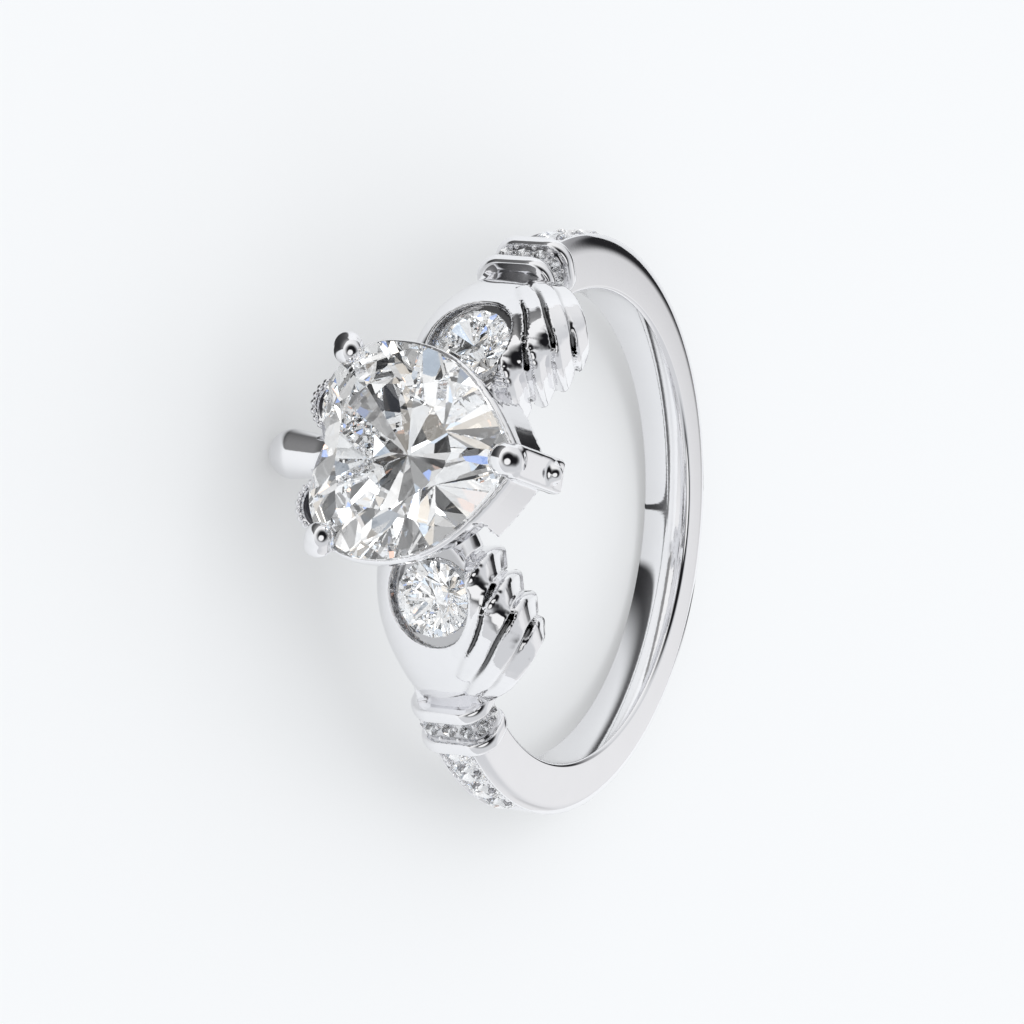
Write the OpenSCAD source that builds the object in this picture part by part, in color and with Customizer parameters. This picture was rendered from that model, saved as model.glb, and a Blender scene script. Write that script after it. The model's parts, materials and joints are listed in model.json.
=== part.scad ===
// Claddagh ring with a heart stone, lying on its side as it rests by itself.
// All lengths are in millimetres. The ring is drawn round the finger axis first:
// the head with the heart points to -Y, the heart's point to +Z and the crown to -Z.
// rest_pose() then leans the whole ring so that the crown's drop and the back
// of the hoop stand on the floor at z = 0.

/* [Hoop] */
// Radius of the round finger hole
finger_r = 8.65; // [8.4:0.05:8.9]
// Width of the hoop along the finger
hoop_width = 1.9; // [1.8:0.05:2.1]
// Thickness of the hoop at its back
back_thickness = 1.6; // [1.45:0.05:1.8]
// How far the hoop's outer round is shifted to the head, which thickens the shoulders
head_shift = 0.34; // [0.2:0.02:0.4]
// Radius of the hoop's rounded outer edges
edge_r = 0.35; // [0.2:0.05:0.45]

/* [Shoulders] */
// Stones in each shoulder channel
shoulder_count = 4; // [3:1:4]
// Diameter of a shoulder stone
shoulder_stone_d = 1.3; // [1.2:0.05:1.35]
// Depth of the shoulder channel
channel_depth = 0.42; // [0.35:0.02:0.5]

/* [Cuffs] */
// Angle from the head to the middle of a cuff
cuff_angle = 51.5; // [51:0.5:52.5]
// Stones round each cuff
cuff_count = 7; // [5:1:7]
// Diameter of a cuff stone
cuff_stone_d = 0.6; // [0.5:0.02:0.64]

/* [Hands] */
// Diameter of the round stone in the back of each hand
hand_stone_d = 2.8; // [2.5:0.05:2.9]
// Angle from the head to the middle of a hand stone
hand_stone_angle = 22; // [21.5:0.25:22.5]

/* [Heart] */
// Half of the heart stone's width
heart_half = 3.85; // [3.8:0.05:3.95]
// Height of the heart stone's girdle above the finger hole
girdle_height = 6.2; // [6.1:0.05:6.4]
// Height of the heart stone from its girdle to its table
heart_crown = 1.0; // [0.9:0.05:1.1]

/* [Hidden] */
$fn = 48;
gap = 0.03;
eps = 0.01;
hoop_r = finger_r + back_thickness + head_shift;
silver = [0.86, 0.87, 0.89];
clear = [0.93, 0.95, 1.0];

// How the ring rests

// How much the head's plan and the hands' height grow with the heart and its girdle
reach = heart_half / 3.85;
rise = girdle_height / 6.2;
// Round end of the crown's drop: distance to the head, height and radius
crown_height = girdle_height - 2.75 * rise;
drop_y = -(finger_r + crown_height);
drop_z = -4.7 * reach;
drop_r = 0.9;
// Beads of the two lobe prongs: direction from the heart's middle, distance, height and radius
heart_mid = 1.0 * reach;
lobe_dir = [0.819, 0, -0.574];
bead_out = 4.12 * reach;
bead_height = girdle_height + 0.65 * rise;
bead_r = 0.5;
// Middle of the rounded edge at the back of the hoop
back_y = hoop_r - head_shift - edge_r;
back_z = -hoop_width / 2 + edge_r;
rest_span = norm([back_y - drop_y, back_z - drop_z]);
rest_tilt = atan2(back_z - drop_z, back_y - drop_y) + asin((drop_r - edge_r) / rest_span);
// Height of the finger axis' middle above the floor, and the shift that centres the ring
rest_lift = drop_r + drop_y * sin(rest_tilt) - drop_z * cos(rest_tilt);
front_y = -(finger_r + bead_height) * cos(rest_tilt)
    + (heart_mid + lobe_dir[2] * bead_out) * sin(rest_tilt) - bead_r;
rear_y = back_y * cos(rest_tilt) - back_z * sin(rest_tilt) + edge_r;
rest_shift = -(front_y + rear_y) / 2;

module rest_pose() {
    translate([0, rest_shift, rest_lift]) rotate([-rest_tilt, 0, 0]) children();
}

// Turns what is drawn at the head to an angle round the hoop
module round_hoop(angle) {
    rotate([0, 0, angle]) children();
}

// Draws the same thing on both sides of the head
module both_sides() {
    children();
    mirror([1, 0, 0]) children();
}

// Small helpers

// A round bar from one point to another
module bar(from, to, r) {
    d = to - from;
    translate(from) rotate([0, acos(d[2] / norm(d)), atan2(d[1], d[0])])
        cylinder(r = r, h = norm(d));
}

// A box with round corners, drawn flat
module soft_box(x0, x1, y0, y1, r) {
    translate([x0 + r, y0]) square([x1 - x0 - 2 * r, y1 - y0]);
    translate([x0, y0 + r]) square([x1 - x0, y1 - y0 - 2 * r]);
    for (x = [x0 + r, x1 - r], y = [y0 + r, y1 - r]) translate([x, y]) circle(r);
}

function unit(v) = v / norm(v);
function power(v, p) = sign(v) * pow(abs(v), p);

// Skins a row of closed outlines, each with the same number of points
module skin(rows) {
    n = len(rows[0]);
    m = len(rows);
    sides = [for (i = [0:m - 2], j = [0:n - 1])
        let (a = i * n + j, b = i * n + (j + 1) % n)
        each [[a, b, a + n], [b, b + n, a + n]]];
    first = [for (j = [1:n - 2]) [0, j + 1, j]];
    last = [for (j = [1:n - 2]) [0, j, j + 1] + [1, 1, 1] * (m - 1) * n];
    polyhedron([for (r = rows) each r], concat(sides, first, last));
}

// Cut stones: table towards +Z, girdle middle at z = 0

// Facets of a brilliant over an outline of 2 * n points round the middle [0, 0]
module brilliant(outline, n, crown, pavilion, girdle, table_part, star_part) {
    even = [for (k = [0:n - 1]) outline[2 * k]];
    odd = [for (k = [0:n - 1]) outline[2 * k + 1]];
    up = girdle / 2;
    star_z = up + crown * (1 - star_part) / (1 - table_part);
    table = [for (p = even) [p[0] * table_part, p[1] * table_part, up + crown]];
    star = [for (p = odd) [p[0] * star_part, p[1] * star_part, star_z]];
    top = [for (p = outline) [p[0], p[1], up]];
    low = [for (p = outline) [p[0], p[1], -up]];
    waist = [for (p = odd) [p[0] * 0.3, p[1] * 0.3, -up - pavilion * 0.72]];
    s0 = n;
    t0 = 2 * n;
    l0 = 4 * n;
    w0 = 6 * n;
    c0 = 7 * n;
    faces = concat(
        [for (k = [1:n - 2]) [0, k + 1, k]],
        [for (k = [0:n - 1])
            let (q = (k + 1) % n, p = (k + n - 1) % n,
                 g = t0 + 2 * k, h = g + 1, i = t0 + (2 * k + 2) % (2 * n),
                 u = l0 + 2 * k, v = u + 1, w = l0 + (2 * k + 2) % (2 * n))
            each [
                [k, q, s0 + k],
                [k, s0 + k, g], [k, g, s0 + p],
                [s0 + k, h, g], [s0 + k, i, h],
                [g, h, v], [g, v, u], [h, i, w], [h, w, v],
                [u, v, w0 + k], [v, w, w0 + k],
                [c0, u, w0 + k], [c0, w0 + p, u]
            ]]);
    polyhedron(concat(table, star, top, low, waist, [[0, 0, -up - pavilion]]), faces);
}

function circle_points(r, n) = [for (i = [0:n - 1]) [r * cos(360 * i / n), r * sin(360 * i / n)]];

// A round brilliant with eight main facets
module round_stone(d, mains = 8) {
    brilliant(circle_points(d / 2, 2 * mains), mains, d * 0.15, d * 0.4, d * 0.03, 0.57, 0.8);
}

// The room that a round stone of this diameter needs in the metal
module round_seat(d, rise = 1) {
    r = d / 2 + gap;
    translate([0, 0, -d * 0.03]) cylinder(r = r, h = rise);
    translate([0, 0, -d * 0.43 - 2 * gap])
        cylinder(r1 = 0.02, r2 = r, h = d * 0.4 + 2 * gap + eps);
}

// The heart's outline, from the cleft round one lobe to the point

lobe_x = heart_half * 0.39;
lobe_r = heart_half * 0.61;
lobe_z = 0.05 * reach;
tip_z = 5.45 * reach;
cleft_turn = 180 - acos(lobe_x / lobe_r);
lobe_steps = 6;
side_steps = 8;
side_curve = [[heart_half, lobe_z], [3.95 * reach, 2.7 * reach],
    [2.387 * reach, 4.0 * reach], [0, tip_z]];

function curve_at(c, t) = c[0] * pow(1 - t, 3) + c[1] * 3 * t * pow(1 - t, 2)
    + c[2] * 3 * t * t * (1 - t) + c[3] * pow(t, 3);
function lobe_at(t) = let (a = cleft_turn * (t - 1))
    [lobe_x + lobe_r * cos(a), lobe_z + lobe_r * sin(a)];
half_heart = concat(
    [for (i = [0:lobe_steps - 1]) lobe_at(i / lobe_steps)],
    [for (i = [0:side_steps]) curve_at(side_curve, i / side_steps)]);
half_count = lobe_steps + side_steps;
// The whole outline round its own middle, cleft first
heart = [for (i = [0:2 * half_count - 1])
    i <= half_count ? half_heart[i] - [0, heart_mid]
    : let (p = half_heart[2 * half_count - i]) [-p[0], p[1] - heart_mid]];

module heart_shape(part) {
    polygon(heart * part);
}

// Stands on the girdle of the heart stone, with its table towards +Z
module on_girdle() {
    translate([0, -finger_r - girdle_height, heart_mid]) rotate([90, 0, 0]) children();
}

heart_pavilion = 3.1 * rise;
heart_girdle = 0.24;

module heart_gem(grow = 0) {
    brilliant(heart * (1 + grow / 3), half_count, heart_crown + grow, heart_pavilion + grow * 1.5,
        heart_girdle + grow * 2, 0.66, 0.83);
}

// The hoop

module hoop_blank() {
    translate([0, -head_shift, 0]) rotate_extrude($fn = 96) {
        h = hoop_width / 2;
        translate([finger_r - 0.6, -h]) square([hoop_r - finger_r + 0.6 - edge_r, 2 * h]);
        translate([hoop_r - edge_r - eps, -h + edge_r]) square([edge_r + eps, 2 * (h - edge_r)]);
        for (s = [-1, 1]) translate([hoop_r - edge_r, s * (h - edge_r)]) circle(edge_r);
    }
}

// The finger hole, with both of its edges eased
module finger_hole() {
    ease = 0.12;
    cylinder(r = finger_r, h = hoop_width + 2, center = true, $fn = 96);
    for (s = [-1, 1]) scale([1, 1, s]) translate([0, 0, hoop_width / 2 - ease])
        cylinder(r1 = finger_r, r2 = finger_r + 1, h = 1, $fn = 96);
}

// The shoulders

channel_width = shoulder_stone_d + 0.1;
// Angle from one shoulder stone to the next, from the pitch along the hoop
stone_turn = (shoulder_stone_d + 0.123) / hoop_r * 180 / PI;
channel_start = cuff_angle + 5.2;
channel_turn = stone_turn * shoulder_count + 0.8;
stone_sink = 0.1;

function shoulder_turn(i) = channel_start + 0.4 + stone_turn * (i + 0.5);

// The outside of the hoop at an angle round its own middle
module on_hoop(angle, sink) {
    translate([0, -head_shift, 0]) round_hoop(angle)
        translate([0, -hoop_r + sink, 0]) rotate([90, 0, 0]) children();
}

module shoulder_channel() {
    translate([0, -head_shift, 0]) rotate([0, 0, channel_start - 90])
        rotate_extrude(angle = channel_turn, $fn = 96)
            translate([hoop_r - channel_depth, -channel_width / 2])
                square([channel_depth + 1, channel_width]);
}

module shoulder_seats() {
    for (i = [0:shoulder_count - 1])
        on_hoop(shoulder_turn(i), stone_sink) round_seat(shoulder_stone_d);
}

// Small shared beads that hold the shoulder stones
module shoulder_beads() {
    for (i = [0:shoulder_count], s = [-1, 1])
        on_hoop(channel_start + 0.4 + stone_turn * i, 0.12)
            translate([0, s * (channel_width / 2 - 0.1), 0]) sphere(0.19, $fn = 8);
}

module hoop() {
    difference() {
        hoop_blank();
        finger_hole();
        both_sides() shoulder_channel();
    }
    both_sides() shoulder_beads();
}

// The cuffs

// Outline of a cuff: inner and outer height over the finger hole, low and high side
cuff_in = 0.35;
cuff_out = 2.68;
cuff_low = -1.15;
cuff_high = 1.9;
cuff_corner = 0.95;
cuff_sink = 0.2;
// Start and length of each ring of a cuff along the hoop
rim_start = [-1.0, 0.62];
rim_length = 0.4;

module cuff_slab(start, length, inset) {
    translate([start, 0, 0]) rotate([90, 0, 90]) linear_extrude(length)
        soft_box(-finger_r - cuff_out + inset, -finger_r - cuff_in - inset,
            cuff_low + inset, cuff_high - inset, cuff_corner - inset);
}

// Where stone i sits on the sunk row: [over the hole, along the finger, lean]
core_r = cuff_corner - cuff_sink;
core_top = cuff_out - cuff_sink;
core_flat = cuff_high - cuff_low - 2 * cuff_corner;
core_arc = core_r * PI / 2;
cuff_pitch = cuff_stone_d + 0.11;
cuff_mid = (cuff_low + cuff_high) / 2;
function cuff_spot(i) = let (
    s = (i - (cuff_count - 1) / 2) * cuff_pitch, a = abs(s), w = s < 0 ? -1 : 1,
    turn = min(90, max(0, a - core_flat / 2) / core_arc * 90),
    down = max(0, a - core_flat / 2 - core_arc))
    [core_top - core_r + core_r * cos(turn) - down,
     cuff_mid + w * (min(a, core_flat / 2) + core_r * sin(turn)), w * turn];

module on_cuff(i, sink) {
    p = cuff_spot(i);
    round_hoop(cuff_angle) translate([(rim_start[0] + rim_length + rim_start[1]) / 2,
        -finger_r - p[0], p[1]]) rotate([90 - p[2], 0, 0]) translate([0, 0, -sink]) children();
}

module cuff_seats() {
    for (i = [0:cuff_count - 1]) on_cuff(i, 0.02) round_seat(cuff_stone_d, 0.3);
}

module cuff() {
    round_hoop(cuff_angle) {
        for (s = rim_start) cuff_slab(s, rim_length, 0);
        cuff_slab(rim_start[0] + 0.1, rim_start[1] - rim_start[0], cuff_sink);
    }
}

// The hands

// Sections of a hand's back: [angle, inner height, outer height, low side, high side,
// lean of the section in degrees per mm along the finger axis]
palm_rows = [
    [7.5, 1.75, 2.75, -0.6, 1.7, 2.5],
    [9.8, 1.3, 3.2, -0.9, 2.03, 1.2],
    [13, 1.1, 3.7, -1.15, 2.4, 0],
    [18, 1.0, 3.98, -1.25, 2.85, 0],
    [24, 0.9, 3.98, -1.27, 3.3, 0],
    [30, 0.8, 3.65, -1.22, 3.5, 0],
    [36, 0.7, 3.15, -1.1, 3.3, 0],
    [41, 0.6, 2.65, -1.02, 2.65, 0.4],
    [45, 0.55, 2.3, -0.89, 1.9, 1],
    [49.5, 0.65, 1.85, -0.8, 1.45, 2.2]
];

// Middle line of each finger, wrist to tip: [angle, height, along the finger axis, half size]
finger_rows = [
    [[32, 2.85, 1.6, 0.3], [27, 3.2, 1.9, 0.44], [22, 3.4, 2.25, 0.5],
     [18.6, 3.42, 2.48, 0.52], [16.5, 2.93, 2.55, 0.5], [16.2, 2.0, 2.35, 0.48],
     [16.8, 0.62, 1.75, 0.46]],
    [[36, 2.5, 1.95, 0.3], [31, 2.95, 2.4, 0.44], [26, 3.25, 2.8, 0.51],
     [22.6, 3.32, 3.05, 0.54], [20.5, 2.85, 3.15, 0.52], [20.1, 1.95, 2.95, 0.5],
     [20.8, 0.62, 2.5, 0.47]],
    [[40, 2.1, 1.9, 0.3], [36, 2.45, 2.6, 0.44], [31, 2.8, 3.15, 0.51],
     [27.6, 2.92, 3.45, 0.54], [25.3, 2.5, 3.55, 0.52], [25.1, 1.7, 3.35, 0.5],
     [27.2, 0.62, 2.8, 0.47]],
    [[43, 1.75, 1.6, 0.35], [40, 2.0, 2.35, 0.45], [36.5, 2.2, 3.05, 0.5],
     [33.2, 2.27, 3.45, 0.53], [31.2, 1.85, 3.6, 0.51], [31.4, 1.25, 3.45, 0.49],
     [34.2, 0.62, 2.9, 0.47]]
];

function at_hand(angle, height, along) =
    [(finger_r + height * rise) * sin(angle), -(finger_r + height * rise) * cos(angle), along];

function palm_outline(r, n) = [for (j = [0:n - 1]) let (a = 360 * j / n)
    let (along = (r[3] + r[4]) / 2 + (r[4] - r[3]) / 2 * power(sin(a), 0.62))
    at_hand(r[0] + r[5] * along,
        (r[1] + r[2]) / 2 + (r[2] - r[1]) / 2 * power(cos(a), 0.62), along)];

function finger_outline(rows, i, n) = let (
    p = at_hand(rows[i][0], rows[i][1], rows[i][2]),
    b = i > 0 ? rows[i - 1] : rows[i],
    c = i < len(rows) - 1 ? rows[i + 1] : rows[i],
    along = unit(at_hand(c[0], c[1], c[2]) - at_hand(b[0], b[1], b[2])),
    side = unit(cross(along, [0, 0, 1])), up = cross(side, along), h = rows[i][3])
    [for (j = [0:n - 1]) let (a = 360 * j / n)
        p + side * h * power(cos(a), 0.7) + up * h * power(sin(a), 0.7)];

// Height of the back of the hand over the finger hole, and its stone's place along the finger
hand_top = 3.98;
hand_middle = 1.25;
// Half length and half width of the sunk oval round the hand stone
oval = [0.732 * hand_stone_d, 0.579 * hand_stone_d];

module on_hand(sink) {
    round_hoop(hand_stone_angle) translate([0, -finger_r - hand_top * rise + sink, hand_middle])
        rotate([90, 0, 0]) children();
}

// The oval sunk field in the back of the hand, and the stone's seat in its floor
module hand_seat() {
    on_hand(0.65) translate([0.15, 0, 0]) linear_extrude(2)
        polygon([for (i = [0:35]) [oval[0] * cos(10 * i), oval[1] * sin(10 * i)]]);
    on_hand(0.45) round_seat(hand_stone_d);
}

module hand() {
    skin([for (r = palm_rows) palm_outline(r, 20)]);
    for (f = finger_rows) skin([for (i = [0:len(f) - 1]) finger_outline(f, i, 12)]);
}

// The heart basket

tip_dir = [0, 0, 1];
// A point of the basket: its distance from the heart's middle, and its height over the girdle
function from_mid(dir, out, over) =
    [dir[0] * out * reach, -finger_r - girdle_height - over * rise, heart_mid + dir[2] * out * reach];

module basket_blank() {
    // Thin rim under the girdle
    on_girdle() translate([0, 0, -0.75 * rise]) linear_extrude(0.62 * rise)
        difference() { heart_shape(1.03); heart_shape(0.84); }
    // Walls of the V at the point
    on_girdle() translate([0, 0, -2.7 * rise]) linear_extrude(2.3 * rise)
        intersection() {
            difference() { heart_shape(1.03); heart_shape(0.92); }
            translate([-3 * reach, 3.12 * reach]) square([6 * reach, 3 * reach]);
        }
    // Gallery rail low under the stone
    on_girdle() translate([0, 0, -2.95 * rise]) linear_extrude(0.75 * rise)
        difference() { heart_shape(0.8); heart_shape(0.66); }
    // Bead prongs on the two lobes
    both_sides() {
        bar(from_mid(lobe_dir, 2.2, -2.6), from_mid(lobe_dir, 4.3, 0.55), 0.45);
        translate([lobe_dir[0] * bead_out, -finger_r - bead_height, heart_mid + lobe_dir[2] * bead_out])
            sphere(bead_r);
    }
    // Bar prong at the point, with its bead, and a strut back to the rail
    bar(from_mid(tip_dir, 4.65, -2.9), from_mid(tip_dir, 4.42, 0.3), 0.64);
    translate(from_mid(tip_dir, 4.25, 0.48)) sphere(0.5);
    bar(from_mid(tip_dir, 2.6, -2.7), from_mid(tip_dir, 5.0, -2.0), 0.35);
}

module basket() {
    difference() {
        basket_blank();
        on_girdle() heart_gem(gap);
    }
}

// The crown behind the cleft

side_lobe = [1.8 * reach, -(finger_r + crown_height + 0.2), -2.95 * reach];
side_lobe_r = 1.05;

// One side lobe: a round boss with a sunk face and beads along its outer edge
module side_lobe_body() {
    rotate_extrude($fn = 48) polygon([[0, -0.45], [side_lobe_r - 0.06, -0.45],
        [side_lobe_r, -0.39], [side_lobe_r, 0.45], [side_lobe_r - 0.28, 0.45],
        [side_lobe_r - 0.34, 0.15], [0, 0.1]]);
    for (a = [100:25:350]) translate([(side_lobe_r - 0.13) * cos(a), (side_lobe_r - 0.13) * sin(a), 0.38])
        rotate(a) sphere(0.19, $fn = 8);
}

module crown() {
    // Plain drop in the middle: a round end that runs into a thinner neck
    translate([0, drop_y, 0]) rotate_extrude($fn = 48) polygon(concat(
        [for (a = [-90:15:15]) [drop_r * cos(a), drop_z + drop_r * sin(a)]],
        [[0.71, drop_z + 1.7], [0.71, -0.95 * reach], [0, -0.95 * reach]]));
    both_sides() translate(side_lobe) rotate([90, 0, 0]) side_lobe_body();
    // Stem that joins the three lobes to the gallery rail
    translate([-1.5 * reach, drop_y - 0.31, -2.63 * reach]) cube([3 * reach, 0.77, 1.93 * reach]);
}

// Nodes

module ring_metal() {
    color(silver) rest_pose() {
        // Every seat is cut through all the metal round it, so no stone meets any of it
        difference() {
            union() {
                hoop();
                both_sides() {
                    cuff();
                    hand();
                }
            }
            both_sides() {
                shoulder_seats();
                cuff_seats();
                hand_seat();
            }
        }
        basket();
        crown();
    }
}

module heart_stone() {
    color(clear) rest_pose() on_girdle() heart_gem();
}

module hand_stone_1() {
    color(clear) rest_pose() on_hand(0.45) round_stone(hand_stone_d);
}

module hand_stone_2() {
    color(clear) rest_pose() mirror([1, 0, 0]) on_hand(0.45) round_stone(hand_stone_d);
}

// Stones 1 to cuff_count sit on one cuff, the rest on the other
module cuff_stone(i) {
    other = i > cuff_count;
    color(clear) rest_pose() mirror([other ? 1 : 0, 0, 0])
        on_cuff(other ? i - cuff_count - 1 : i - 1, 0.02) round_stone(cuff_stone_d, 4);
}

// Stones 1 to shoulder_count sit in one channel, the rest in the other
module shoulder_stone(i) {
    other = i > shoulder_count;
    color(clear) rest_pose() mirror([other ? 1 : 0, 0, 0])
        on_hoop(shoulder_turn(other ? i - shoulder_count - 1 : i - 1), stone_sink)
            round_stone(shoulder_stone_d);
}

ring_metal();
heart_stone();
hand_stone_1();
hand_stone_2();
for (i = [1:2 * cuff_count])
    cuff_stone(i);
for (i = [1:2 * shoulder_count])
    shoulder_stone(i);
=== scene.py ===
# %% [markdown]
# # A claddagh ring
# The ring is one casting of polished white metal that carries twenty five cut stones: a large
# heart, a round stone in the back of each hand, and small ones round the cuffs and shoulders.
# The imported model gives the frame, so every point below lies at its real place. The round stones
# stay as they are and only get a finish. The metal and the heart are drawn again here, with the
# soft forms of a casting and the fine facets of a brilliant.

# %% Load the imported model
import json
import math
import bpy
import numpy as np
from mathutils import Euler, Matrix, Vector


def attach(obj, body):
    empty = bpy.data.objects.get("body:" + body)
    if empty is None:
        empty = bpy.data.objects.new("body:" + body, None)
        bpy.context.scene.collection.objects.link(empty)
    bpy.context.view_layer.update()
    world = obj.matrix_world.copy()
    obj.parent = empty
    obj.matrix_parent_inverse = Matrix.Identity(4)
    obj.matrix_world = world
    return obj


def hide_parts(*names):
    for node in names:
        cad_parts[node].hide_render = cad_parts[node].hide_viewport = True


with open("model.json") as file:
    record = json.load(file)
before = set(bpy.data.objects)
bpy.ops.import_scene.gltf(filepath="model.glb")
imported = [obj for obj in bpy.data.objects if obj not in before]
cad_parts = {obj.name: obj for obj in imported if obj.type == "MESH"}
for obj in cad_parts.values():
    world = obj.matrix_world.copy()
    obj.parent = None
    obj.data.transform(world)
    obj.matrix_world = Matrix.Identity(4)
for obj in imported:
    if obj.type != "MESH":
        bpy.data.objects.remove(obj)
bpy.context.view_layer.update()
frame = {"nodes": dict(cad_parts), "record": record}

# %% [markdown]
# ## Drawing round the finger axis
# A ring is easiest to draw round the axis of its finger hole. Here the head with the heart
# points to -Y, the heart's point to +Z and the crown to -Z, all in millimetres. The finger hole
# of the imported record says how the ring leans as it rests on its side. One function leans the
# drawing over in the same way and turns it into metres, so no piece is ever fitted by hand.

# %% From the drawing to the resting ring
hole = frame["record"]["mounts"][0]
FINGER_R = hole["dims"]["r_mm"]
SHIFT, LIFT = (1000 * reach for reach in hole["pos_m"][1:])
LEAN = math.atan2(hole["axis"][1], hole["axis"][2])


def rested(points):
    p = np.asarray(points, float).reshape(-1, 3)
    c, s = math.cos(LEAN), math.sin(LEAN)
    y = p[:, 1] * c + p[:, 2] * s + SHIFT
    z = -p[:, 1] * s + p[:, 2] * c + LIFT
    return np.stack([p[:, 0], y, z], 1) * 0.001


def turned(way):
    """A direction is only leaned over, without the shift."""
    return Vector((rested([way]) - rested([[0, 0, 0]]))[0]).normalized()


print("finger axis stands at", rested([[0, 0, 0]])[0], "and points to", turned((0, 0, 1)))

# %% [markdown]
# ## A camera from the photograph
# The view is half of the likeness, so the camera comes before the first piece. It could be moved
# by eye until it looks right. Here its place and turn come from measuring known points of the
# ring in the picture: the circles of the hoop, the heart's corners and the stones of the hands.
# It stands 29 cm away with a long lens, and is rolled, because the picture shows the ring turned
# up on its side.

# %% Camera
IMAGE_SIDE, FOCAL_LENGTH = 1024, 8002.65  # pixels of the photograph
SENSOR_WIDTH = 36  # millimetres
CAMERA_AT = (35.15, -222.05, 185.15)  # millimetres
CAMERA_TURN = (-3.782, -50.885, 103.842)  # degrees about X, Y and Z

lens = bpy.data.cameras.new("photo_camera")
lens.sensor_width = SENSOR_WIDTH
lens.lens = FOCAL_LENGTH * SENSOR_WIDTH / IMAGE_SIDE
lens.clip_start, lens.clip_end = 0.01, 20
camera = bpy.data.objects.new("photo_camera", lens)
bpy.context.scene.collection.objects.link(camera)
turn = Euler([math.radians(t) for t in CAMERA_TURN])
camera.matrix_world = Matrix.LocRotScale(Vector(CAMERA_AT) * 0.001, turn, None)
bpy.context.scene.camera = camera
print("lens:", round(lens.lens), "mm, height over the floor:", round(CAMERA_AT[2]), "mm")

# %% [markdown]
# ## Meshes from arrays
# Most pieces are computed as arrays of points and faces, which keeps every size exact. One helper
# makes the object, shades it smooth, gives it a finish and lets it ride on the ring's one body.
# The left and right half of the ring mirror each other, so a second helper makes a piece of the
# lower half together with its mirror image.

# %% Helpers that make pieces
made = []


def piece(name, points, faces, finish, slot="ring_metal", smooth=True, leaned=True):
    mesh = bpy.data.meshes.new(name)
    co = rested(points) if leaned else np.asarray(points, float)
    mesh.from_pydata(co.tolist(), [], [list(map(int, f)) for f in faces])
    mesh.update()
    mesh.polygons.foreach_set("use_smooth", [smooth] * len(mesh.polygons))
    obj = bpy.data.objects.new(name, mesh)
    bpy.context.scene.collection.objects.link(obj)
    mesh.materials.append(finish)
    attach(obj, "root")
    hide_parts(slot)
    made.append(obj)
    print(name, len(mesh.vertices), "points", len(mesh.polygons), "faces")
    return obj


def pair(name, points, faces, finish, **how):
    """A mirrored face is read the other way round, so that it still looks outwards."""
    mirrored = np.array(points, float) * [-1, 1, 1]
    return (piece(name + "_lower", points, faces, finish, **how),
            piece(name + "_upper", mirrored, [f[::-1] for f in faces], finish, **how))


def joined(parts):
    """Many small meshes as one."""
    points, faces, n = [], [], 0
    for p, f in parts:
        points.append(np.asarray(p, float).reshape(-1, 3))
        faces += [tuple(i + n for i in g) for g in f]
        n += len(points[-1])
    return np.vstack(points), faces


def unit(v):
    return v / np.linalg.norm(v, axis=-1, keepdims=True)


# %% [markdown]
# ## Finishes from nodes
# A finish is a small tree of nodes. Three helpers keep the trees short to read: one adds a node
# and sets its values, one lays a colour over another, and one fades softly between two values.

# %% Helpers for finishes
def node(tree, kind, **values):
    n = tree.nodes.new(kind)
    for key, value in values.items():
        if key in n.inputs:
            n.inputs[key].default_value = value
        else:
            setattr(n, key, value)
    return n


def mixed(tree, below, above, part, how="MIX"):
    mix = node(tree, "ShaderNodeMix", data_type="RGBA", blend_type=how)
    for socket, value in ((mix.inputs[0], part), (mix.inputs[6], below), (mix.inputs[7], above)):
        if isinstance(value, bpy.types.NodeSocket):
            tree.links.new(value, socket)
        else:
            socket.default_value = (*value, 1) if isinstance(value, tuple) else value
    return mix.outputs[2]


def eased(tree, value, start, end):
    soft = node(tree, "ShaderNodeMapRange", interpolation_type="SMOOTHSTEP")
    soft.inputs["From Min"].default_value, soft.inputs["From Max"].default_value = start, end
    tree.links.new(value, soft.inputs["Value"])
    return soft.outputs["Result"]


# %% [markdown]
# ## Polished white metal
# The ring is white metal, polished on a wheel until it is nearly a mirror. A plain mirror looks
# like plastic, so the gloss varies a little in soft clouds, and fine polishing marks show where
# light grazes them. Where a mesh carries a depth, the metal is darker there: painted shade for the
# hollows. The crown's face between its beads is near-black metal and the rows between the cuff's
# rims a rougher, darker grey, both painted shade of these recesses.

# %% The metal finish
CLOUD_SCALE, MARK_SCALE, MARK_HEIGHT = 900.0, 9000.0, 0.00001


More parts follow.
